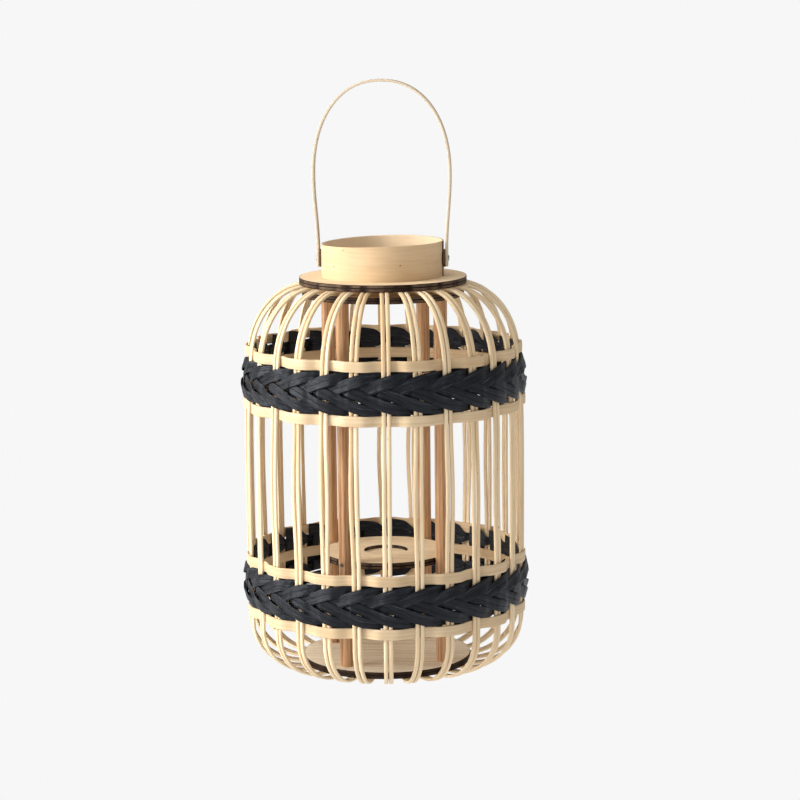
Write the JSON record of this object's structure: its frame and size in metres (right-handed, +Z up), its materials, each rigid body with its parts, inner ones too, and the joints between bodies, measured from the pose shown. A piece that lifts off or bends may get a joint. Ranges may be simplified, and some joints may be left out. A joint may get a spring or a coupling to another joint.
{
  "type": "bamboo lantern",
  "caption": "Barrel-shaped cage lantern of split bamboo ribs with two dark plaited bands, a candle platform on dowel posts and a swinging flat bamboo bail.",
  "frame": {"origin": "centre of the base on the floor", "axes": "+Z up; the handle's rivets lie on an axis along X, and the handle stands in the XZ plane"},
  "size_m": [0.26, 0.26, 0.5321],
  "materials": {
    "rib_bamboo": "satin split bamboo",
    "hoop_bamboo": "satin split bamboo",
    "dyed_braid": "black dyed bamboo strip, faint sheen",
    "plywood": "laser-cut plywood, burnt edges",
    "veneer": "bare bent veneer",
    "dowel_wood": "bare reddish dowel",
    "handle_bamboo": "satin split bamboo",
    "steel": "bright",
    "rivet_metal": "satin"
  },
  "bodies": {
    "lantern": {"rib_01": "rib_bamboo", "rib_02": "rib_bamboo", "rib_03": "rib_bamboo", "rib_04": "rib_bamboo", "rib_05": "rib_bamboo", "rib_06": "rib_bamboo", "rib_07": "rib_bamboo", "rib_08": "rib_bamboo", "rib_09": "rib_bamboo", "rib_10": "rib_bamboo", "rib_11": "rib_bamboo", "rib_12": "rib_bamboo", "rib_13": "rib_bamboo", "rib_14": "rib_bamboo", "rib_15": "rib_bamboo", "rib_16": "rib_bamboo", "rib_17": "rib_bamboo", "rib_18": "rib_bamboo", "rib_19": "rib_bamboo", "rib_20": "rib_bamboo", "rib_21": "rib_bamboo", "rib_22": "rib_bamboo", "rib_23": "rib_bamboo", "rib_24": "rib_bamboo", "rib_25": "rib_bamboo", "rib_26": "rib_bamboo", "rib_27": "rib_bamboo", "rib_28": "rib_bamboo", "upper_band_top_hoop": "hoop_bamboo", "upper_band_bottom_hoop": "hoop_bamboo", "upper_inner_hoop": "hoop_bamboo", "lower_band_top_hoop": "hoop_bamboo", "lower_band_bottom_hoop": "hoop_bamboo", "lower_inner_hoop": "hoop_bamboo", "upper_braid": "dyed_braid", "lower_braid": "dyed_braid", "top_plate_upper": "plywood", "top_plate_lower": "plywood", "rib_clamp_ring": "plywood", "support_ring_upper": "plywood", "support_ring_lower": "plywood", "platform_upper": "plywood", "platform_lower": "plywood", "base_plate_upper": "plywood", "base_plate_lower": "plywood", "base_disc": "plywood", "post_right_front": "dowel_wood", "post_right_back": "dowel_wood", "post_left_back": "dowel_wood", "post_left_front": "dowel_wood", "platform_nails": "steel", "ring_screws": "steel", "base_screws": "steel", "collar": "veneer", "spacer_right": "dowel_wood", "spacer_left": "dowel_wood", "rivet_right": "rivet_metal", "rivet_left": "rivet_metal"},
    "handle": {"handle": "handle_bamboo"}
  },
  "joints": [
    {"name": "handle_swing", "type": "hinge", "parent": "lantern", "child": "handle", "pos_m": [0, 0, 0.37305], "axis": [1, 0, 0], "range_deg": [-102, 102]}
  ]
}
